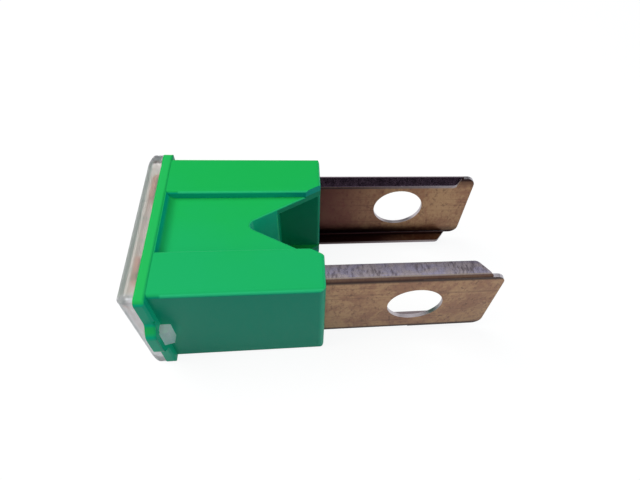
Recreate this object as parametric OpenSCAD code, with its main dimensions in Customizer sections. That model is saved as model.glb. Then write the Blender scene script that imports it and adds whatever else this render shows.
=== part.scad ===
// Bolt-in fusible link: a moulded housing with a clear clip-on cover and a folded sheet link.
// It lies on a broad side. X runs from the cover to the blade tips, Y is across the blades, Z is up.

/* [Blades] */
// Thickness of the copper alloy sheet
sheet_t = 0.4; // [0.3:0.05:0.5]
// Distance over the outer faces of the two blades
blade_span = 12.92; // [12:0.02:14]
// Height of a blade over its two turned edges
blade_h = 9.94; // [9:0.02:11]
// Width of the turned edges, over the sheet
edge_w = 1.68; // [1.4:0.02:2]
// Inside radius of the bends of a blade
bend_r = 0.15; // [0.1:0.05:0.3]
// Length of the blades outside the feet
blade_out = 16.9; // [14:0.1:20]
// Diameter of the bolt holes
hole_d = 5.5; // [4.2:0.1:6.5]
// Distance from the blade tip to the middle of the hole
hole_back = 8; // [6.5:0.1:9]
// Distance from the blade tip to the cut ends of the turned edges
edge_back = 2.6; // [2:0.1:3.5]
// Length of the slanted cut at the ends of the turned edges
edge_slant = 1.35; // [0.8:0.05:1.8]
// Radius of the free corners at the ends of the turned edges
edge_r = 0.7; // [0.3:0.05:0.7]
// Step from the turned edges to the flat tip, on each side
tip_step = 0.33; // [0.25:0.01:0.6]
// Corner radius of the flat tip
tip_r = 1; // [0.6:0.1:2]

/* [Bridge] */
// Width of the fusible strip
strip_w = 1.8; // [1.4:0.1:2.4]
// Distance across the dip in the strip, over the sheet
dip_w = 4.4; // [4:0.1:5]
// Depth of the dip in the strip
dip_d = 3.2; // [2.4:0.1:4]
// Inside radius of the bends of the strip
strip_bend_r = 0.4; // [0.3:0.05:0.6]
// Diameter of the pellet's heads
pellet_d = 2.2; // [1.8:0.1:2.4]
// Height of each head of the pellet
pellet_head = 0.6; // [0.4:0.05:0.8]
// Diameter of the pellet's shank
pellet_shank = 1; // [0.8:0.1:1.2]

/* [Housing] */
// Length from the flange to the ends of the feet
body_l = 14.4; // [13.8:0.1:17]
// Wall outside a blade, on the narrow sides
side_wall = 1.39; // [1.1:0.01:1.8]
// Wall over the turned edges of a blade, on the broad sides
rail_wall = 0.78; // [0.6:0.02:1.1]
// Wall between a blade and the slot between the feet
foot_wall = 0.52; // [0.4:0.02:0.8]
// Radius of the long outer edges
body_r = 0.4; // [0.2:0.05:0.5]
// Radius of the edges at the ends of the feet, on the broad sides
foot_r = 0.3; // [0.1:0.05:0.45]
// Radius of the edges at the ends of the feet, on the narrow sides
foot_side_r = 0.6; // [0.3:0.05:0.8]
// Width of the sunk panel between the rails
panel_w = 6.74; // [5.6:0.02:7]
// Depth of the sunk panel below the rails
panel_d = 0.85; // [0.5:0.05:1]
// Thickness of the panel
panel_wall = 0.7; // [0.5:0.05:0.9]
// Radius along the rails
panel_r = 0.3; // [0.1:0.05:0.45]
// Radius in the corner of panel and flange
panel_corner_r = 0.8; // [0.5:0.05:0.85]
// Angle between the two sides of the V notch
notch_angle = 60; // [54:1:62]
// Distance from the flange to the rounded point of the notch
notch_x = 7.7; // [7.6:0.1:8.2]
// Radius of the point of the notch
notch_r = 0.6; // [0.3:0.05:0.9]
// Radius along the notch's edges on the panels
notch_edge_r = 0.2; // [0.1:0.02:0.3]
// Depth of the slot between the feet
slot_l = 4.2; // [3.4:0.1:4.8]
// Radius of the slot's edges at the ends of the feet
slot_r = 0.3; // [0.1:0.05:0.35]
// Depth of the chamber from the flange's body side
chamber_l = 7; // [6.4:0.1:7.2]
// Thickness of the flange
flange_l = 0.9; // [0.7:0.05:1.2]
// Overhang of the flange on the narrow sides
flange_over = 0.68; // [0.6:0.02:0.9]
// Overhang of the flange on the broad sides
flange_lift = 0.1; // [0.04:0.02:0.3]
// Corner radius of the flange
flange_r = 0.5; // [0.4:0.05:1]
// Radius of the flange's edge on the body side
flange_edge_r = 0.25; // [0.1:0.05:0.35]

/* [Cover and hooks] */
// Height of the cover above the flange
cover_l = 1.7; // [1.5:0.05:2.2]
// Wall of the cover
cover_wall = 0.8; // [0.6:0.05:1]
// Radius round the outer face of the cover, on the broad sides
cover_r = 1.45; // [0.8:0.05:1.5]
// Radius round the outer face of the cover, on the narrow sides
cover_end_r = 1.6; // [0.8:0.05:1.65]
// Radius round the inner face of the cover
cover_inner_r = 0.35; // [0.2:0.05:0.5]
// Corner radius of the cover's outline
cover_corner_r = 0.5; // [0.4:0.05:1]
// Width of the hooks
hook_w = 2.2; // [1.6:0.1:2.8]
// Thickness of the hooks
hook_t = 0.54; // [0.4:0.02:0.6]
// Length of the hook's barb behind the flange
barb_l = 0.8; // [0.6:0.05:1.2]
// Step of the barb behind the keeper
barb_step = 0.42; // [0.3:0.02:0.5]
// Wall of the hook keeper
keeper_wall = 0.85; // [0.6:0.05:1.1]
// Slope of the keeper's ends, along its base
keeper_slope = 0.7; // [0.4:0.05:1]
// Radius of the keeper's outer corners
keeper_r = 1; // [0.4:0.05:1.1]
// Radius in the corners of keeper and flange
keeper_foot_r = 0.7; // [0.3:0.05:0.8]

/* [Clearances] */
// Gap between the link and the housing
link_gap = 0.05; // [0.03:0.01:0.08]
// Gap round the hooks and the cover's rim
cover_gap = 0.05; // [0.03:0.01:0.1]
// Gap between the top of the link and the cover
top_gap = 0.1; // [0.05:0.01:0.2]
// Gap between the pellet's shank and its hole
pellet_gap = 0.03; // [0.02:0.01:0.05]

/* [Hidden] */
$fn = 64;
// Cuts run past the faces that they open by this much
over = 1;

// Half sizes of the link
web_y = blade_span / 2;
half_h = blade_h / 2;
edge_y = web_y - edge_w;
tip_half = half_h - tip_step;
outer_bend_r = bend_r + sheet_t;
// The stop wings lie on the chamber's floor, beside the narrower pockets
wing_over = 0.55;
wing_y = edge_y - wing_over;

// Half sizes of the housing, from the link outwards
pocket_y = web_y + link_gap;
pocket_z = half_h + link_gap;
half_w = pocket_y + side_wall;
half_t = pocket_z + rail_wall;
slot_y = edge_y - link_gap - foot_wall;
slot_x = body_l - slot_l;
panel_z = half_t - panel_d;
inner_z = panel_z - panel_wall;
flange_y = half_w + flange_over;
flange_z = half_t + flange_lift;

// Hooks and keepers, outwards from the narrow sides
hook_in = half_w + cover_gap;
hook_out = hook_in + hook_t;
keeper_in = hook_out + 2 * cover_gap;
keeper_out = keeper_in + keeper_wall;
keeper_half = hook_w / 2 + 2 * cover_gap;

// Places along X, from the flange's body side
tip_x = body_l + blade_out;
hole_x = tip_x - hole_back;
edge_x = tip_x - edge_back;
cover_x = -flange_l - cover_l;
cover_in_x = cover_x + cover_wall;
top_x = cover_in_x + top_gap;
wing_x = 2;
wing_end = chamber_l - link_gap;

// Half height of the link's folded top, and where it narrows to the strip
top_half = half_h - 0.2;
taper_to = dip_w / 2 + 0.6;
taper_from = taper_to + 0.6;
dip_x = top_x + dip_d;

// Lays a part built about the flange down on its flange's lower edge, with the origin under its middle
module lie_down() {
    translate([-(tip_x + cover_x) / 2, 0, flange_z]) children();
}

// Runs an outline drawn in Y and Z along X
module along_x(from, to) {
    translate([from, 0, 0]) rotate([90, 0, 90]) linear_extrude(to - from) children();
}

// Runs an outline drawn in X and Z along Y, both ways from the middle
module along_y(width) {
    rotate([90, 0, 0]) linear_extrude(width, center = true) children();
}

// Runs an outline drawn in X and Y along Z, both ways from the middle
module along_z(height) {
    linear_extrude(height, center = true) children();
}

// Block between two corners
module block(low, high) {
    translate(low) cube(high - low);
}

// Copies a shape of the far side to the near side
module both_sides() {
    children();
    mirror([0, 1, 0]) children();
}

// Copies a shape of the upper face to the lower face
module both_faces() {
    children();
    mirror([0, 0, 1]) children();
}

// Rectangle about the middle with round corners
module round_rect(w, h, r) {
    square([w - 2 * r, h], center = true);
    square([w, h - 2 * r], center = true);
    for (x = [-1, 1], y = [-1, 1])
        translate([x * (w / 2 - r), y * (h / 2 - r)]) circle(r);
}

// Strip from one end to the other along the first axis, with round corners at its far end
module round_end(from, to, half, r) {
    translate([from, -half]) square([to - r - from, 2 * half]);
    translate([from, r - half]) square([to - from, 2 * (half - r)]);
    for (s = [-1, 1]) translate([to - r, s * (half - r)]) circle(r);
}

// What rounding takes off an edge: the first axis runs into the solid, and the second out of its face
module edge_round(r) {
    difference() {
        translate([-r / 2, -r]) square([1.5 * r, 2 * r]);
        translate([r, -r]) circle(r);
    }
}

// Outside of the body: long edges and the ends of the feet are rounded
module body_block() {
    intersection() {
        along_x(-flange_l / 2, body_l) round_rect(2 * half_w, 2 * half_t, body_r);
        along_z(2 * half_t + over) round_end(-flange_l, body_l, half_w, foot_side_r);
        along_y(2 * half_w + over) round_end(-flange_l, body_l, half_t, foot_r);
    }
}

// Outline of the far keeper: a flat loop with sloping ends, round outside and where it leaves the flange
module keeper_outline() {
    corner_z = keeper_half + 0.4 * keeper_slope;
    base_z = keeper_half + 1.6 * keeper_slope;
    turn = atan2(keeper_out - flange_y, base_z - corner_z);
    touch = keeper_r * tan(turn / 2);
    foot = keeper_foot_r * tan(turn / 2);
    slope_y = keeper_out - touch * sin(turn);
    slope_z = corner_z + touch * cos(turn);
    face_z = corner_z - touch;
    polygon([
        [half_w, base_z],
        [flange_y, base_z],
        [slope_y, slope_z],
        [keeper_out, face_z],
        [keeper_out, -face_z],
        [slope_y, -slope_z],
        [flange_y, -base_z],
        [half_w, -base_z]
    ]);
    for (s = [-1, 1]) translate([keeper_out - keeper_r, s * face_z]) circle(keeper_r);
    for (s = [0, 1]) mirror([0, s]) difference() {
        polygon([
            [half_w, base_z - foot * cos(turn)],
            [flange_y + foot * sin(turn), base_z - foot * cos(turn)],
            [flange_y, base_z + foot],
            [half_w, base_z + foot]
        ]);
        translate([flange_y + keeper_foot_r, base_z + foot]) circle(keeper_foot_r);
    }
}

// Flange that the cover sits on, with a keeper on each narrow side for the cover's hook
module flange() {
    intersection() {
        along_x(-flange_l, 0) round_rect(2 * flange_y, 2 * flange_z, flange_r);
        along_z(2 * flange_z + over) round_end(-flange_l - over, 0, flange_y, flange_edge_r);
        along_y(2 * flange_y + over) round_end(-flange_l - over, 0, flange_z, flange_edge_r);
    }
    both_sides() along_x(-flange_l, 0) keeper_outline();
}

// Sunk panel of the upper face, round along the rails and in the corner at the flange
module panel_cut() {
    intersection() {
        along_x(0, body_l + over) {
            translate([-panel_w / 2, panel_z]) square([panel_w, panel_d + over]);
            difference() {
                translate([-panel_w / 2 - panel_r, half_t - panel_r]) square([panel_w + 2 * panel_r, panel_r + over]);
                for (s = [-1, 1])
                    translate([s * (panel_w / 2 + panel_r), half_t - panel_r]) circle(panel_r);
                for (s = [-1, 1])
                    translate([s * (panel_w / 2 + panel_r) - panel_r, half_t]) square([2 * panel_r, over]);
            }
        }
        along_y(2 * half_w) {
            translate([panel_corner_r, panel_z]) square([body_l, panel_d + over]);
            translate([0, panel_z + panel_corner_r]) square([body_l + panel_corner_r, panel_d + over]);
            translate([panel_corner_r, panel_z + panel_corner_r]) circle(panel_corner_r);
        }
    }
}

// V notch right through the body, with round edges where it leaves the panels
module notch_cut() {
    half_angle = notch_angle / 2;
    round_x = notch_x + notch_r;
    point_x = round_x - notch_r / sin(half_angle);
    end_x = body_l + over;
    end_y = (end_x - point_x) * tan(half_angle);
    touch_x = round_x - notch_r * sin(half_angle);
    touch_y = notch_r * cos(half_angle);
    along_z(2 * half_t + over) {
        translate([round_x, 0]) circle(notch_r);
        polygon([[touch_x, -touch_y], [end_x, -end_y], [end_x, end_y], [touch_x, touch_y]]);
    }
    both_faces() intersection() {
        union() {
            translate([round_x, 0, panel_z]) rotate_extrude() translate([notch_r, 0]) edge_round(notch_edge_r);
            both_sides() translate([touch_x, touch_y, panel_z]) rotate([0, 0, half_angle])
                along_x(0, body_l) edge_round(notch_edge_r);
        }
        block([0, -panel_w / 2, inner_z], [end_x, panel_w / 2, half_t]);
    }
}

// Slot that parts the two feet, with round edges at their ends
module slot_cut() {
    block([slot_x, -slot_y, -inner_z], [body_l + over, slot_y, inner_z]);
    both_sides() translate([body_l, slot_y, 0]) along_z(2 * inner_z)
        mirror([1, 0]) rotate(90) edge_round(slot_r);
}

// Chamber for the bridge, open at the cover, with taller bays beside it for the link's wings
module chamber_cut() {
    block([-flange_l - over, -pocket_y, -inner_z], [chamber_l, pocket_y, inner_z]);
    both_sides()
        block([-flange_l - over, wing_y - link_gap, -pocket_z], [chamber_l, pocket_y, pocket_z]);
}

// Section of a blade on the far side: a web and two edges turned in, to their free ends
module blade_section(free_y) {
    difference() {
        round_end(free_y, web_y, half_h, outer_bend_r);
        round_end(free_y - over, web_y - sheet_t, half_h - sheet_t, bend_r);
    }
}

// Pocket in the far foot that follows the blade's section with its gap all round
module pocket_cut() {
    way = sheet_t + 2 * link_gap;
    along_x(chamber_l - over, body_l + over) difference() {
        translate([edge_y - link_gap, -pocket_z]) square([pocket_y - edge_y + link_gap, 2 * pocket_z]);
        round_end(edge_y - over, pocket_y - way, pocket_z - way, bend_r);
    }
}

// Way for the far hook, between the keeper and the narrow side
module hook_way() {
    block([-flange_l - over, half_w, -keeper_half], [over, keeper_in, keeper_half]);
}

module housing() {
    color([0.10, 0.69, 0.36]) lie_down() difference() {
        union() {
            body_block();
            flange();
        }
        both_faces() panel_cut();
        notch_cut();
        slot_cut();
        chamber_cut();
        both_sides() pocket_cut();
        both_sides() hook_way();
    }
}

// Hook of the far side: an arm through the keeper and a barb behind it, thinner towards its end
module hook() {
    root_x = -flange_l - cover_wall / 2;
    barb_x = cover_gap;
    end_x = barb_x + barb_l;
    along_z(hook_w) polygon([
        [root_x, hook_in],
        [end_x, hook_in],
        [end_x, hook_out + barb_step / 2],
        [barb_x, hook_out + barb_step],
        [barb_x, hook_out],
        [root_x, hook_out]
    ]);
}

module cover() {
    rim_y = flange_y - cover_gap;
    rim_z = flange_z - cover_gap;
    in_y = rim_y - cover_wall;
    in_z = rim_z - cover_wall;
    color([0.80, 0.84, 0.84, 0.45]) lie_down() {
        difference() {
            intersection() {
                along_x(cover_x, -flange_l) round_rect(2 * rim_y, 2 * rim_z, cover_corner_r);
                mirror([1, 0, 0]) along_z(2 * flange_z) round_end(flange_l - over, -cover_x, rim_y, cover_end_r);
                mirror([1, 0, 0]) along_y(2 * flange_y) round_end(flange_l - over, -cover_x, rim_z, cover_r);
            }
            intersection() {
                along_x(cover_in_x, over) round_rect(2 * in_y, 2 * in_z, cover_corner_r);
                mirror([1, 0, 0]) along_z(2 * flange_z) round_end(-2 * over, -cover_in_x, in_y, cover_inner_r);
                mirror([1, 0, 0]) along_y(2 * flange_y) round_end(-2 * over, -cover_in_x, in_z, cover_inner_r);
            }
        }
        both_sides() hook();
    }
}

// Quarter ring of sheet about a bend's middle: the quarter lies on the given sides of the middle
module sheet_bend(x_side, y_side) {
    outer = strip_bend_r + sheet_t;
    intersection() {
        difference() {
            circle(outer);
            circle(strip_bend_r);
        }
        translate([x_side > 0 ? 0 : -outer, y_side > 0 ? 0 : -outer]) square(outer);
    }
}

// Far blade: channel with slanted ends to its turned edges, and a flat tip with a bolt hole
module blade() {
    slant_end = edge_x + edge_slant;
    slant = atan2(edge_w, edge_slant);
    touch = edge_r * tan(slant / 2);
    difference() {
        union() {
            intersection() {
                along_x(wing_end - over, slant_end) blade_section(edge_y - over);
                along_z(blade_h + over) {
                    polygon([
                        [0, edge_y],
                        [edge_x - touch, edge_y],
                        [edge_x + touch * cos(slant), edge_y + touch * sin(slant)],
                        [slant_end, web_y],
                        [0, web_y]
                    ]);
                    translate([edge_x - touch, edge_y + edge_r]) circle(edge_r);
                }
            }
            translate([0, web_y - sheet_t / 2, 0]) along_y(sheet_t)
                round_end(hole_x, tip_x, tip_half, tip_r);
        }
        translate([hole_x, web_y, 0]) rotate([90, 0, 0]) cylinder(h = 2 * over, d = hole_d, center = true);
    }
}

// Far wings: wider turned edges that stop the link on the chamber's floor
module wings() {
    along_x(wing_x, wing_end) blade_section(wing_y);
}

// Far shoulder: the web goes up under the cover, folds in and narrows to the strip
module shoulder() {
    bend_x = top_x + sheet_t + strip_bend_r;
    bend_y = web_y - sheet_t - strip_bend_r;
    block([bend_x, web_y - sheet_t, -top_half], [wing_x + over, web_y, top_half]);
    translate([bend_x, bend_y, 0]) along_z(2 * top_half) sheet_bend(-1, 1);
    along_x(top_x, top_x + sheet_t) {
        translate([taper_from, -top_half]) square([bend_y - taper_from, 2 * top_half]);
        polygon([
            [taper_from, -top_half],
            [taper_from, top_half],
            [taper_to, strip_w / 2],
            [taper_to, -strip_w / 2]
        ]);
    }
}

// Far half of the strip: it turns down into the dip and in along the bottom, to the middle
module half_strip() {
    side_y = dip_w / 2;
    turn = strip_bend_r + sheet_t;
    along_z(strip_w) {
        translate([top_x, side_y + strip_bend_r]) square([sheet_t, taper_to - side_y - strip_bend_r]);
        translate([top_x + turn, side_y + strip_bend_r]) sheet_bend(-1, -1);
        translate([top_x + turn, side_y - sheet_t]) square([dip_x - turn - top_x - turn + sheet_t, sheet_t]);
        translate([dip_x + sheet_t - turn, side_y - turn]) sheet_bend(1, 1);
        translate([dip_x, 0]) square([sheet_t, side_y - turn]);
    }
}

// Round land at the bottom of the dip, with the pellet's hole
module pellet_land() {
    translate([dip_x, 0, 0]) rotate([0, 90, 0]) cylinder(h = sheet_t, d = pellet_d + 0.2);
}

module fuse_link() {
    color([0.57, 0.42, 0.32]) lie_down() difference() {
        union() {
            both_sides() {
                blade();
                wings();
                shoulder();
                half_strip();
            }
            pellet_land();
        }
        translate([dip_x, 0, 0]) rotate([0, 90, 0])
            cylinder(h = 4 * sheet_t, d = pellet_shank + 2 * pellet_gap, center = true);
    }
}

// Pellet upset like a rivet, with a low domed head on each face of the strip
module tin_pellet() {
    head_r = pellet_d / 2;
    middle = sheet_t / 2;
    color([0.75, 0.76, 0.78]) lie_down() translate([dip_x + middle, 0, 0]) rotate([0, 90, 0]) {
        cylinder(h = sheet_t + pellet_head, d = pellet_shank, center = true);
        for (s = [0, 1]) mirror([0, 0, s]) translate([0, 0, middle]) rotate_extrude() {
            square([head_r - pellet_head / 2, pellet_head]);
            square([head_r, pellet_head / 2]);
            translate([head_r - pellet_head / 2, pellet_head / 2]) intersection() {
                circle(pellet_head / 2);
                square(pellet_head / 2);
            }
        }
    }
}

housing();
cover();
fuse_link();
tin_pellet();
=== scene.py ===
from math import radians

import bpy
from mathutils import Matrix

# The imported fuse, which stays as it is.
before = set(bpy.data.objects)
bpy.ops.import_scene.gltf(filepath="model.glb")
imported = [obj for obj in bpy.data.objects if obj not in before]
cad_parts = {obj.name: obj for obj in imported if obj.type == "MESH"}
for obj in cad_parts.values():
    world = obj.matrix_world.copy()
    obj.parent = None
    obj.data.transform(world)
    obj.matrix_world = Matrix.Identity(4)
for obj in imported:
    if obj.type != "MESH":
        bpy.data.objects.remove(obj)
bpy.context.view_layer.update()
scene = bpy.context.scene
scene.view_settings.view_transform = "Standard"

# Camera. The photograph looks down on the fuse from the front, a little from its cover end.
# It was taken close by, so the blades run visibly together.
PHOTO_WIDTH = 640
CAMERA_PLACE = (-0.0018476, -0.0282577, 0.0461807)
CAMERA_TILT = 36.212
CAMERA_ROLL = -6.087
CAMERA_TURN = -6.138
FOCAL_LENGTH_PX = 471.62
VIEW_CENTRE_PX = (373.385, 245.964)
PHOTO_CENTRE_PX = (320, 240)
SENSOR_WIDTH = 36
NEAREST_SEEN = 0.001
FARTHEST_SEEN = 10

camera_data = bpy.data.cameras.new("photo_camera")
camera_data.sensor_width = SENSOR_WIDTH
camera_data.lens = FOCAL_LENGTH_PX * SENSOR_WIDTH / PHOTO_WIDTH
camera_data.shift_x = (PHOTO_CENTRE_PX[0] - VIEW_CENTRE_PX[0]) / PHOTO_WIDTH
camera_data.shift_y = (VIEW_CENTRE_PX[1] - PHOTO_CENTRE_PX[1]) / PHOTO_WIDTH
camera_data.clip_start = NEAREST_SEEN
camera_data.clip_end = FARTHEST_SEEN
camera = bpy.data.objects.new("photo_camera", camera_data)
camera.location = CAMERA_PLACE
camera.rotation_euler = (radians(CAMERA_TILT), radians(CAMERA_ROLL), radians(CAMERA_TURN))
scene.collection.objects.link(camera)
scene.camera = camera


# Studio. White paper lies under the fuse, and its faint shade fades to white further away.
# A wide soft lamp hangs over it, and a smaller cool one stands low beyond the blades.
# A dark board behind shows only in what the flat tops mirror.
WHITE = (1, 1, 1, 1)
FLOOR_RADIUS = 1.5
FLOOR_CORNERS = 96
PAPER_COLOUR = (0.20, 0.23, 0.32, 1)
PAPER_GLOW = 1.03
SHADOW_SEEN = 0.12
SHADOW_MIRRORED = 0.75
SHADOW_FADE = 0.12
SHADOW_END = 0.3
LAMP_PLACE = (-0.16, 0.04, 0.27)
LAMP_SIZE = 0.26
LAMP_POWER = 1.06
LAMP_COLOUR = (1.0, 1.0, 0.95)
FILL_PLACE = (0.22, -0.09, 0.07)
FILL_SIZE = 0.15
FILL_POWER = 0.23
FILL_COLOUR = (0.75, 0.92, 1.0)
ROOM_LIGHT = 0.13
ROOM_COLOUR = (0.85, 1.0, 1.35, 1)
WALL_LIGHT = 1.0
BOARD_DISTANCE = 0.075
BOARD_BOTTOM = 0.035
BOARD_TOP = 0.112
BOARD_WIDTH = 0.3
BOARD_COLOUR = (0.02, 0.015, 0.02, 1)


def add_node(tree, kind, inputs=(), **settings):
    """Adds a shader node; each input is a value, or the output socket that is wired to it."""
    made = tree.nodes.new(kind)
    for name, value in settings.items():
        setattr(made, name, value)
    for socket, value in dict(inputs).items():
        if isinstance(value, bpy.types.NodeSocket):
            tree.links.new(value, made.inputs[socket])
        else:
            made.inputs[socket].default_value = value
    return made


def calculate(tree, operation, first, second=0.0):
    """One sum on two values or sockets."""
    made = add_node(tree, "ShaderNodeMath", {0: first, 1: second}, operation=operation)
    return made.outputs[0]


def both(tree, first, second):
    """The product of two masks or values."""
    return calculate(tree, "MULTIPLY", first, second)


def either(tree, first, second):
    """The larger of two masks or values."""
    return calculate(tree, "MAXIMUM", first, second)


def seen_directly(tree, path):
    """1 for rays from the camera, from gloss and through the clear cover, and 0 for soft light."""
    mirrored = either(tree, path.outputs["Is Glossy Ray"], path.outputs["Is Transmission Ray"])
    return either(tree, path.outputs["Is Camera Ray"], mirrored)


def empty_material(name):
    """A new material with no nodes in it, and its node tree."""
    material = bpy.data.materials.new(name)
    material.use_nodes = True
    material.node_tree.nodes.clear()
    return material, material.node_tree


bpy.ops.object.select_all(action="DESELECT")
bpy.ops.mesh.primitive_circle_add(
    vertices=FLOOR_CORNERS, radius=FLOOR_RADIUS, fill_type="NGON"
)
floor = bpy.context.object
floor.name = "paper_floor"
paper, tree = empty_material("white_paper")
path = add_node(tree, "ShaderNodeLightPath")
lit = add_node(tree, "ShaderNodeBsdfDiffuse", {"Color": PAPER_COLOUR})
shaded = add_node(tree, "ShaderNodeBsdfDiffuse", {"Color": WHITE})
white = add_node(tree, "ShaderNodeEmission", {"Color": WHITE, "Strength": PAPER_GLOW})
straight = either(tree, path.outputs["Is Camera Ray"], path.outputs["Is Transmission Ray"])
shadow_share = add_node(
    tree,
    "ShaderNodeMapRange",
    {"Value": straight, "To Min": SHADOW_MIRRORED, "To Max": SHADOW_SEEN},
)
paper_place = add_node(tree, "ShaderNodeTexCoord")
away = add_node(
    tree, "ShaderNodeVectorMath", {0: paper_place.outputs["Object"]}, operation="LENGTH"
)
near_fuse = add_node(
    tree,
    "ShaderNodeMapRange",
    {
        "Value": away.outputs["Value"],
        "From Min": SHADOW_FADE,
        "From Max": SHADOW_END,
        "To Min": 1,
        "To Max": 0,
    },
)
seen = add_node(
    tree,
    "ShaderNodeMixShader",
    {
        0: both(tree, shadow_share.outputs["Result"], near_fuse.outputs["Result"]),
        1: white.outputs[0],
        2: shaded.outputs[0],
    },
)
surface = add_node(
    tree,
    "ShaderNodeMixShader",
    {0: seen_directly(tree, path), 1: lit.outputs[0], 2: seen.outputs[0]},
)
add_node(tree, "ShaderNodeOutputMaterial", {"Surface": surface.outputs[0]})
floor.data.materials.append(paper)

bpy.ops.object.select_all(action="DESELECT")
bpy.ops.mesh.primitive_plane_add(
    size=1,
    location=(0, BOARD_DISTANCE, (BOARD_BOTTOM + BOARD_TOP) / 2),
    rotation=(radians(90), 0, 0),
)
board = bpy.context.object
board.name = "dark_board"
board.scale = (BOARD_WIDTH, BOARD_TOP - BOARD_BOTTOM, 1)
board.visible_camera = False
board.visible_diffuse = False
board.visible_transmission = False
board.visible_shadow = False
board_paint, tree = empty_material("dark_board")
paint = add_node(tree, "ShaderNodeBsdfDiffuse", {"Color": BOARD_COLOUR})
add_node(tree, "ShaderNodeOutputMaterial", {"Surface": paint.outputs[0]})
board.data.materials.append(board_paint)

aim = bpy.data.objects.new("lamp_aim", None)
scene.collection.objects.link(aim)


def add_lamp(name, place, size, power, colour):
    """A square soft lamp that looks at the fuse and isn't mirrored in it."""
    lamp_data = bpy.data.lights.new(name, "AREA")
    lamp_data.size = size
    lamp_data.energy = power
    lamp_data.color = colour
    lamp = bpy.data.objects.new(name, lamp_data)
    lamp.location = place
    lamp.visible_glossy = False
    lamp.visible_transmission = False
    scene.collection.objects.link(lamp)
    follow = lamp.constraints.new("TRACK_TO")
    follow.target = aim
    follow.track_axis = "TRACK_NEGATIVE_Z"
    follow.up_axis = "UP_Y"


add_lamp("soft_lamp", LAMP_PLACE, LAMP_SIZE, LAMP_POWER, LAMP_COLOUR)
add_lamp("cool_fill", FILL_PLACE, FILL_SIZE, FILL_POWER, FILL_COLOUR)

room = bpy.data.worlds.new("white_room")
room.use_nodes = True
scene.world = room
tree = room.node_tree
tree.nodes.clear()
path = add_node(tree, "ShaderNodeLightPath")
soft_light = add_node(
    tree, "ShaderNodeBackground", {"Color": ROOM_COLOUR, "Strength": ROOM_LIGHT}
)
white_wall = add_node(tree, "ShaderNodeBackground", {"Color": WHITE, "Strength": WALL_LIGHT})
walls = add_node(
    tree,
    "ShaderNodeMixShader",
    {0: seen_directly(tree, path), 1: soft_light.outputs[0], 2: white_wall.outputs[0]},
)
add_node(tree, "ShaderNodeOutputWorld", {"Surface": walls.outputs[0]})


# Fuse link. One strip of copper alloy, stamped and folded: two channel-shaped blades, each
# with a bolt hole, and the thin bridge between them that melts. It is pushed into the housing.
# The sheet is mottled brown, grey on the folded edges, and still bright under the cover.
# Painted shade darkens the channel insides, the bends and the far fold, and a painted highlight
# lines each bend.
MM = 1000
MID_HEIGHT_MM = 5.9
SHEET_BROWN = (0.262, 0.136, 0.082, 1)
SHEET_GOLD = (0.375, 0.228, 0.126, 1)
SHEET_DARK = (0.105, 0.050, 0.042, 1)
INNER_RED_SHADE = (0.106, 0.032, 0.032, 1)
CHANNEL_SHADE = (0.022, 0.008, 0.009, 1)
FRESH_COPPER = (0.85, 0.50, 0.38, 1)
FOLD_GREY = (0.320, 0.280, 0.304, 1)
FOLD_LILAC = (0.286, 0.262, 0.345, 1)
FOLD_SMUDGE = (0.060, 0.048, 0.062, 1)
FAR_FOLD_SHADE = (0.140, 0.084, 0.136, 1)
BEND_SHADE = (0.075, 0.046, 0.040, 1)
BEND_HIGHLIGHT = (0.290, 0.235, 0.180, 1)
CREASE_SHADE = (0.034, 0.019, 0.018, 1)
CUT_BRIGHT = (0.600, 0.570, 0.620, 1)
BEND_START_MM = 4.42
FOLD_TOP_MM = 4.97
INNER_FACE_MM = 6.06
FOLD_END_MM = 14.2
TIP_START_MM = 15.6
CLEAN_END_MM = -12.4
CLEAN_BLUR_MM = 0.3
RED_START_MM = 1
RED_END_MM = 10
CHANNEL_SHADE_START_MM = 3.2
CHANNEL_SHADE_FULL_MM = 4.1
CHANNEL_SHADE_FADE_MM = 6
CHANNEL_SHADE_THIN_MM = 14
BARE_START_MM = 2
CUT_TURN = 0.4
CUT_SHARE = 0.8
ROLLING_RELIEF = 0.12
RELIEF_DEPTH = 0.00002


def part_in_mm(tree):
    """The place on the part, in millimetres, so that patterns are sized as a ruler sizes them."""
    place = add_node(tree, "ShaderNodeTexCoord")
    scaled = add_node(
        tree,
        "ShaderNodeVectorMath",
        {0: place.outputs["Object"], 1: (MM, MM, MM)},
        operation="MULTIPLY",
    )
    return scaled.outputs[0]


mottle = bpy.data.node_groups.new("mottle", "ShaderNodeTree")
mottle.interface.new_socket("Stretch", in_out="INPUT", socket_type="NodeSocketVector")
mottle.interface.new_socket("Detail", in_out="INPUT", socket_type="NodeSocketFloat")
mottle.interface.new_socket("Roughness", in_out="INPUT", socket_type="NodeSocketFloat")
mottle.interface.new_socket("Amount", in_out="OUTPUT", socket_type="NodeSocketFloat")
given = add_node(mottle, "NodeGroupInput")
squeezed = add_node(
    mottle,
    "ShaderNodeVectorMath",
    {0: part_in_mm(mottle), 1: given.outputs["Stretch"]},
    operation="MULTIPLY",
)
cloud = add_node(
    mottle,
    "ShaderNodeTexNoise",
    {
        "Vector": squeezed.outputs[0],
        "Scale": 1,
        "Detail": given.outputs["Detail"],
        "Roughness": given.outputs["Roughness"],
    },
)
add_node(mottle, "NodeGroupOutput", {"Amount": cloud.outputs["Fac"]})


def noise(tree, stretch, detail, roughness=0.55):
    """Soft mottle over the part; stretch is how many times it changes in a millimetre, by axis."""
    made = add_node(
        tree,
        "ShaderNodeGroup",
        {"Stretch": stretch, "Detail": detail, "Roughness": roughness},
        node_tree=mottle,
    )
    return made.outputs["Amount"]


def spread(tree, value, low, high, to_low=0.0, to_high=1.0):
    """Maps low to high on to_low to to_high, smoothly and without passing either."""
    made = add_node(
        tree,
        "ShaderNodeMapRange",
        {"Value": value, "From Min": low, "From Max": high, "To Min": to_low, "To Max": to_high},
        interpolation_type="SMOOTHSTEP",
    )
    return made.outputs["Result"]


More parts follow.
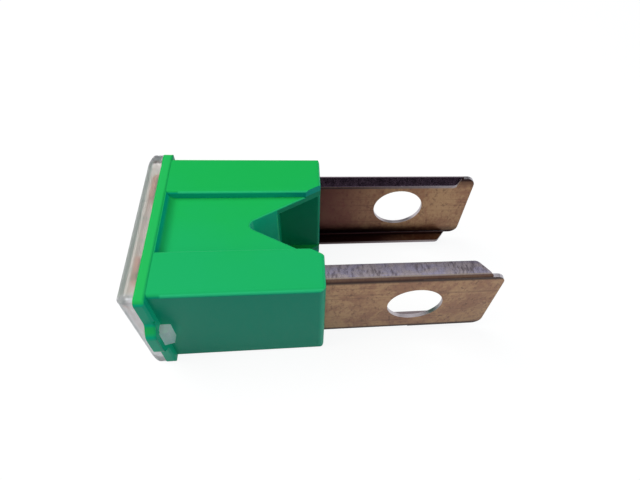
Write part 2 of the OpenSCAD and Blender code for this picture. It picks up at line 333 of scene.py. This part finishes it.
def mixed(tree, share, first, second):
    """Two colours, mixed by a share."""
    made = add_node(
        tree, "ShaderNodeMix", {"Factor": share, 6: first, 7: second}, data_type="RGBA"
    )
    return made.outputs[2]


def rest_of(tree, mask):
    """Where a mask isn't."""
    return calculate(tree, "SUBTRACT", 1.0, mask)


def measures(tree):
    """In millimetres: along, sideways, off the middle plane, and off the middle height."""
    axes = add_node(tree, "ShaderNodeSeparateXYZ", {0: part_in_mm(tree)})
    across = calculate(tree, "ABSOLUTE", axes.outputs["Y"])
    height = calculate(tree, "SUBTRACT", axes.outputs["Z"], MID_HEIGHT_MM)
    height = calculate(tree, "ABSOLUTE", height)
    return axes.outputs["X"], axes.outputs["Y"], across, height


def dress(node, material):
    """Gives a CAD node its finished material."""
    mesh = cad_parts[node].data
    mesh.materials.clear()
    mesh.materials.append(material)


link_finish, tree = empty_material("tarnished_copper_alloy")
along, sideways, across, height = measures(tree)
geometry = add_node(tree, "ShaderNodeNewGeometry")
facing = add_node(tree, "ShaderNodeSeparateXYZ", {0: geometry.outputs["True Normal"]})
faces_out = calculate(tree, "ABSOLUTE", facing.outputs["Y"])
faces_up = calculate(tree, "ABSOLUTE", facing.outputs["Z"])

# Mottled tarnish, brown with golden patches, dark specks and a few long rolling marks
patches = noise(tree, (0.4, 0.4, 0.4), 3, 0.6)
grain = noise(tree, (2.4, 1.5, 1.5), 5, 0.7)
specks = noise(tree, (3.2, 1.9, 1.9), 4, 0.65)
marks = noise(tree, (0.05, 3.0, 3.0), 4, 0.6)
golden = calculate(tree, "ADD", both(tree, patches, 0.5), both(tree, grain, 0.5))
tarnish_and_shade = mixed(tree, spread(tree, golden, 0.42, 0.60), SHEET_BROWN, SHEET_GOLD)
tarnish_and_shade = mixed(tree, spread(tree, specks, 0.52, 0.70, 0.0, 0.6), tarnish_and_shade, SHEET_DARK)
tarnish_and_shade = mixed(tree, spread(tree, marks, 0.56, 0.70, 0.0, 0.5), tarnish_and_shade, SHEET_DARK)

# Inside the channels: painted shade, darker and redder towards the housing and near black along
# the bends
behind = spread(tree, sideways, -1, 1)
inside = both(
    tree,
    spread(tree, across, INNER_FACE_MM + 0.06, INNER_FACE_MM + 0.2, 1.0, 0.0),
    spread(tree, height, FOLD_TOP_MM - 0.3, FOLD_TOP_MM - 0.16, 1.0, 0.0),
)
# Painted shade: the insides grow darker and redder towards the housing
red_shade_near_housing = spread(tree, along, RED_START_MM, RED_END_MM, 0.85, 0.0)
tarnish_and_shade = mixed(tree, both(tree, inside, red_shade_near_housing), tarnish_and_shade, INNER_RED_SHADE)
# Painted shade: near black inside the channels along their bends, strongest on the far blade
channel_shade = both(
    tree,
    spread(tree, height, CHANNEL_SHADE_START_MM, CHANNEL_SHADE_FULL_MM),
    spread(tree, behind, 0, 1, 0.4, 0.95),
)
channel_shade = both(tree, channel_shade, spread(tree, along, CHANNEL_SHADE_FADE_MM, CHANNEL_SHADE_THIN_MM, 1.0, 0.6))
tarnish_and_shade = mixed(tree, both(tree, inside, channel_shade), tarnish_and_shade, CHANNEL_SHADE)
inner_fold = both(tree, inside, spread(tree, height, FOLD_TOP_MM - 0.55, FOLD_TOP_MM - 0.45))
near_fold = both(tree, inner_fold, spread(tree, behind, 0, 1, 0.8, 0.0))
tarnish_and_shade = mixed(tree, near_fold, tarnish_and_shade, FOLD_GREY)
# Painted shade in the inner corners of the folds
corner_shade = both(
    tree,
    spread(tree, across, INNER_FACE_MM - 0.5, INNER_FACE_MM - 0.2),
    spread(tree, height, FOLD_TOP_MM - 0.85, FOLD_TOP_MM - 0.6, 0.0, 0.95),
)
tarnish_and_shade = mixed(tree, both(tree, inside, corner_shade), tarnish_and_shade, CHANNEL_SHADE)

# Folded edges: grey with patches of dark smudges, darker by the free edge, and on the far blade
# darker still by painted shade
smudges = noise(tree, (3.4, 1.3, 1.3), 5, 0.7)
sky_tint = noise(tree, (0.6, 1.2, 1.2), 3)
on_fold = spread(tree, height, FOLD_TOP_MM - 0.16, FOLD_TOP_MM - 0.08)
grey = mixed(tree, spread(tree, sky_tint, 0.42, 0.62), FOLD_GREY, FOLD_LILAC)
worn = spread(tree, patches, 0.42, 0.60, 0.35, 0.9)
smudged = both(tree, worn, spread(tree, smudges, 0.42, 0.64, 0.0, 0.8))
grey = mixed(tree, smudged, grey, FOLD_SMUDGE)
by_free_edge = spread(tree, across, INNER_FACE_MM - 1.5, INNER_FACE_MM - 0.2, 0.35, 0.0)
grey = mixed(tree, by_free_edge, grey, FOLD_SMUDGE)
# Painted shade: the far blade's fold is darkened where it mirrors dark surroundings
grey = mixed(tree, both(tree, behind, 0.9), grey, FAR_FOLD_SHADE)
tarnish_and_shade = mixed(tree, on_fold, tarnish_and_shade, grey)

# Outside of the bends: painted shade makes them brown, a painted highlight draws the thin bright
# line on top, and a painted dark reflection draws the crease underneath
outside = rest_of(tree, inside)
# Painted shade on the outside of the bends
bend_shade = both(
    tree,
    spread(tree, height, BEND_START_MM, BEND_START_MM + 0.1),
    spread(tree, height, FOLD_TOP_MM - 0.14, FOLD_TOP_MM - 0.06, 0.8, 0.0),
)
tarnish_and_shade = mixed(tree, both(tree, outside, bend_shade), tarnish_and_shade, BEND_SHADE)
# Painted highlight: a thin bright line along the top of each bend
bend_highlight = both(
    tree,
    spread(tree, across, INNER_FACE_MM + 0.05, INNER_FACE_MM + 0.10),
    spread(tree, across, INNER_FACE_MM + 0.13, INNER_FACE_MM + 0.19, 0.7, 0.0),
)
bend_highlight = both(
    tree, bend_highlight, spread(tree, height, BEND_START_MM + 0.2, BEND_START_MM + 0.3)
)
tarnish_and_shade = mixed(tree, bend_highlight, tarnish_and_shade, BEND_HIGHLIGHT)
# Painted dark reflection: a dark crease line just under each bend
crease_shade = both(
    tree,
    spread(tree, height, BEND_START_MM - 0.4, BEND_START_MM),
    spread(tree, height, BEND_START_MM + 0.06, BEND_START_MM + 0.36, 0.95, 0.0),
)
tarnish_and_shade = mixed(tree, both(tree, outside, crease_shade), tarnish_and_shade, CREASE_SHADE)

# The bridge and the folded top have kept their colour under the cover
clean_from = CLEAN_END_MM - CLEAN_BLUR_MM
clean_to = CLEAN_END_MM + CLEAN_BLUR_MM
kept_clean = spread(tree, along, clean_from, clean_to, 0.9, 0.0)
tarnish_and_shade = mixed(tree, kept_clean, tarnish_and_shade, FRESH_COPPER)

# Cut edges: the hole, the tip and the free ends of the folds show bare metal
cut_web = both(
    tree,
    calculate(tree, "LESS_THAN", faces_out, CUT_TURN),
    either(
        tree,
        calculate(tree, "LESS_THAN", height, BEND_START_MM),
        calculate(tree, "GREATER_THAN", along, TIP_START_MM),
    ),
)
cut_fold = both(
    tree,
    calculate(tree, "LESS_THAN", faces_up, CUT_TURN),
    both(
        tree,
        calculate(tree, "GREATER_THAN", height, BEND_START_MM),
        calculate(tree, "LESS_THAN", across, INNER_FACE_MM),
    ),
)
cut_fold = both(tree, cut_fold, spread(tree, along, BARE_START_MM, FOLD_END_MM, 0.1, 0.8))
cut_fold = both(tree, cut_fold, spread(tree, behind, 0, 1, 1.0, 0.55))
cut = both(
    tree,
    either(tree, cut_web, cut_fold),
    spread(tree, along, clean_from, clean_to, 0.0, CUT_SHARE),
)
finish = mixed(tree, cut, tarnish_and_shade, CUT_BRIGHT)

dull = both(
    tree,
    spread(tree, grain, 0.3, 0.7, 0.30, 0.44),
    spread(tree, on_fold, 0, 1, 1.0, 0.65),
)
rolling = noise(tree, (0.25, 16, 16), 3)
relief = add_node(
    tree,
    "ShaderNodeBump",
    {"Height": rolling, "Strength": ROLLING_RELIEF, "Distance": RELIEF_DEPTH},
)
principled = add_node(
    tree,
    "ShaderNodeBsdfPrincipled",
    {
        "Base Color": finish,
        "Metallic": 1.0,
        "Roughness": dull,
        "Normal": relief.outputs["Normal"],
    },
)
add_node(tree, "ShaderNodeOutputMaterial", {"Surface": principled.outputs[0]})
dress("fuse_link", link_finish)


# Tin pellet. A pellet of soft tin, pressed through the middle of the bridge like a rivet.
# When the bridge runs hot, the tin melts into the copper and lowers its melting point.
TIN_COLOUR = (0.56, 0.55, 0.53, 1)
TIN_DULL = (0.36, 0.35, 0.34, 1)

pellet_finish, tree = empty_material("dull_tin")
grains = noise(tree, (3, 3, 3), 4)
principled = add_node(
    tree,
    "ShaderNodeBsdfPrincipled",
    {
        "Base Color": mixed(tree, spread(tree, grains, 0.4, 0.65), TIN_COLOUR, TIN_DULL),
        "Metallic": 1.0,
        "Roughness": spread(tree, grains, 0.3, 0.7, 0.34, 0.5),
    },
)
add_node(tree, "ShaderNodeOutputMaterial", {"Surface": principled.outputs[0]})
dress("tin_pellet", pellet_finish)


# Housing. One injection moulding in green plastic, with the pockets for the blades, the sunk
# panels with their notches, the flange that carries the cover, and the hook keepers.
# Painted light and shade are in its green: the lighter rims are painted highlights, and the deeper
# sides, notch and slot are painted sheen and shade.
GREEN_COOL = (0.013, 0.445, 0.130, 1)
GREEN_WARM = (0.012, 0.462, 0.086, 1)
GREEN_STEP_SHADE = (0.001, 0.440, 0.300, 1)
GREEN_UPRIGHT_SHADE = (0.001, 0.395, 0.205, 1)
GREEN_LIT_UPRIGHT = (0.001, 0.580, 0.285, 1)
GREEN_SHADE = (0.001, 0.300, 0.140, 1)
GREEN_RIM_HIGHLIGHT = (0.038, 0.680, 0.255, 1)
GREEN_FLANGE_TOP = (0.020, 0.500, 0.105, 1)
GREEN_SHEEN = (0.30, 0.90, 1.0, 1)
GREEN_IOR = 1.52
GREEN_GLOSS = 0.1
SKIN_RELIEF = 0.14
HALF_WIDTH_MM = 9
FLANGE_END_MM = -14.35
RIM_START_MM = -13.45
RIM_FULL_MM = -13.25
NOTCH_START_MM = -6.9
SLOT_START_MM = -4.15
NOTCH_SIDE_MM = 3.2
SLOT_SIDE_MM = 4.3
SLOT_TOP_MM = 4.25
PANEL_TOP_MM = 4.95
STEP_SIDE_MM = 4.5

green_finish, tree = empty_material("green_moulding")
along, sideways, across, height = measures(tree)
geometry = add_node(tree, "ShaderNodeNewGeometry")
facing = add_node(tree, "ShaderNodeSeparateXYZ", {0: geometry.outputs["Normal"]})
levelness = calculate(tree, "ABSOLUTE", facing.outputs["Z"])

# Level faces, a little warmer towards the back and lighter on the flange
flow = noise(tree, (0.10, 0.16, 0.16), 3)
warmth = calculate(tree, "ADD", spread(tree, sideways, -HALF_WIDTH_MM, HALF_WIDTH_MM), flow)
green = mixed(tree, spread(tree, warmth, 0.5, 1.5), GREEN_COOL, GREEN_WARM)
on_flange = spread(tree, along, FLANGE_END_MM - 0.3, FLANGE_END_MM, 1.0, 0.0)
green = mixed(tree, on_flange, green, GREEN_FLANGE_TOP)

# Upright faces, in painted sheen and shade: the steps, the sides, the flange, the notch and the
# shaded slot
between_rails = spread(tree, across, NOTCH_SIDE_MM - 0.2, NOTCH_SIDE_MM, 0.8, 0.0)
past_tip = spread(tree, along, NOTCH_START_MM - 0.1, NOTCH_START_MM + 0.1)
past_edge = spread(tree, along, SLOT_START_MM - 0.06, SLOT_START_MM - 0.02)
in_notch = both(tree, both(tree, between_rails, past_tip), rest_of(tree, past_edge))
in_slot = both(
    tree,
    spread(tree, across, SLOT_SIDE_MM, SLOT_SIDE_MM + 0.1, 1.0, 0.0),
    spread(tree, height, PANEL_TOP_MM, PANEL_TOP_MM + 0.1, 1.0, 0.0),
)
in_slot = both(tree, in_slot, past_edge)
past_step = spread(tree, across, STEP_SIDE_MM, STEP_SIDE_MM + 1)
# Painted sheen and shade: upright faces are deeper and bluer than level ones, the steps bluer
# still
upright_shading = mixed(tree, past_step, GREEN_STEP_SHADE, GREEN_UPRIGHT_SHADE)
# Painted light: the flange's upright faces and the notch wall are lighter
upright_shading = mixed(tree, either(tree, on_flange, in_notch), upright_shading, GREEN_LIT_UPRIGHT)
# Painted shade: the slot's walls are darker
upright_shading = mixed(tree, in_slot, upright_shading, GREEN_SHADE)
# Level and upright faces are lit and shaded copies of the same green
green = mixed(tree, spread(tree, levelness, 0.35, 0.8, 0.95, 0.0), green, upright_shading)

# Painted highlights: light rims on the rounded edges and where the notch drops into the slot
rim_highlight = both(
    tree,
    spread(tree, levelness, 0.1, 0.4),
    spread(tree, levelness, 0.75, 0.95, 0.7, 0.0),
)
rim_highlight = both(tree, rim_highlight, spread(tree, along, RIM_START_MM, RIM_FULL_MM))
green = mixed(tree, rim_highlight, green, GREEN_RIM_HIGHLIGHT)
slot_edge_highlight = both(
    tree,
    spread(tree, along, SLOT_START_MM - 0.2, SLOT_START_MM - 0.1),
    spread(tree, height, SLOT_TOP_MM - 0.1, SLOT_TOP_MM, 1.0, 0.0),
)
green = mixed(tree, both(tree, slot_edge_highlight, in_notch), green, GREEN_RIM_HIGHLIGHT)

skin = noise(tree, (7, 7, 7), 2)
relief = add_node(
    tree,
    "ShaderNodeBump",
    {"Height": skin, "Strength": SKIN_RELIEF, "Distance": RELIEF_DEPTH},
)
principled = add_node(
    tree,
    "ShaderNodeBsdfPrincipled",
    {
        "Base Color": green,
        "Roughness": spread(tree, skin, 0.3, 0.7, 0.28, 0.36),
        "IOR": GREEN_IOR,
        "Specular IOR Level": GREEN_GLOSS,
        "Specular Tint": GREEN_SHEEN,
        "Normal": relief.outputs["Normal"],
    },
)
add_node(tree, "ShaderNodeOutputMaterial", {"Surface": principled.outputs[0]})
dress("housing", green_finish)


# Cover. A clear cap, moulded in one piece with its two side hooks, which clips over the flange
# so that the bridge can be seen and stays closed in. Its end is a clear window, its rim and
# sides are hazy, and its hooks are dull. Painted shade greys its rim, and a painted copper
# reflection warms the rim by the hollow.
CLEAR = (0.95, 0.96, 0.95, 1)
CLEAR_RIM_SHADE = (0.62, 0.71, 0.64, 1)
CLEAR_COPPER_REFLECTION = (0.98, 0.87, 0.82, 1)
CLEAR_LILAC = (0.96, 0.97, 1.0, 1)
CLEAR_IOR = 1.55
CLEAR_SHARE = 0.85
WINDOW_DULLNESS = 0.08
RIM_DULLNESS = 0.32
HOOK_DULLNESS = 0.6
CAP_INSIDE_MM = -16.1
CAP_SIDE_MM = 7.8
CAP_RIM_MM = 4.4
CAP_WALL_MM = 5.1

clear_finish, tree = empty_material("clear_moulding")
along, _, across, height = measures(tree)
haze = noise(tree, (0.6, 0.6, 0.6), 1)
on_rim = spread(tree, height, CAP_RIM_MM - 0.8, CAP_RIM_MM)
# Painted shade: the rim's grey-green tint stands in for the shade seen through it
clear = mixed(tree, on_rim, CLEAR, CLEAR_RIM_SHADE)
hollow = spread(tree, along, CAP_INSIDE_MM - 0.1, CAP_INSIDE_MM + 0.1)
# Painted reflection: a warm copper tint on the rim by the hollow
copper_reflection = both(tree, both(tree, on_rim, hollow), spread(tree, haze, 0.2, 0.5))
clear = mixed(tree, copper_reflection, clear, CLEAR_COPPER_REFLECTION)
on_side = spread(tree, across, CAP_SIDE_MM - 0.5, CAP_SIDE_MM)
clear = mixed(tree, on_side, clear, CLEAR_LILAC)
inside = both(
    tree,
    spread(tree, height, CAP_WALL_MM, CAP_WALL_MM + 0.15, 1.0, 0.0),
    spread(tree, across, CAP_SIDE_MM, CAP_SIDE_MM + 0.15, 1.0, 0.0),
)
outer = rest_of(tree, both(tree, hollow, inside))
cloudy = both(tree, either(tree, on_rim, on_side), outer)
cloudy = both(tree, cloudy, spread(tree, haze, 0.3, 0.7, 0.8, 1.0))
on_hook = spread(tree, along, FLANGE_END_MM - 0.6, FLANGE_END_MM - 0.2)
dull = spread(tree, cloudy, 0, 1, WINDOW_DULLNESS, RIM_DULLNESS)
dull = calculate(tree, "ADD", dull, both(tree, on_hook, HOOK_DULLNESS))
principled = add_node(
    tree,
    "ShaderNodeBsdfPrincipled",
    {
        "Base Color": clear,
        "Roughness": dull,
        "IOR": CLEAR_IOR,
        "Transmission Weight": CLEAR_SHARE,
    },
)
add_node(tree, "ShaderNodeOutputMaterial", {"Surface": principled.outputs[0]})
dress("cover", clear_finish)
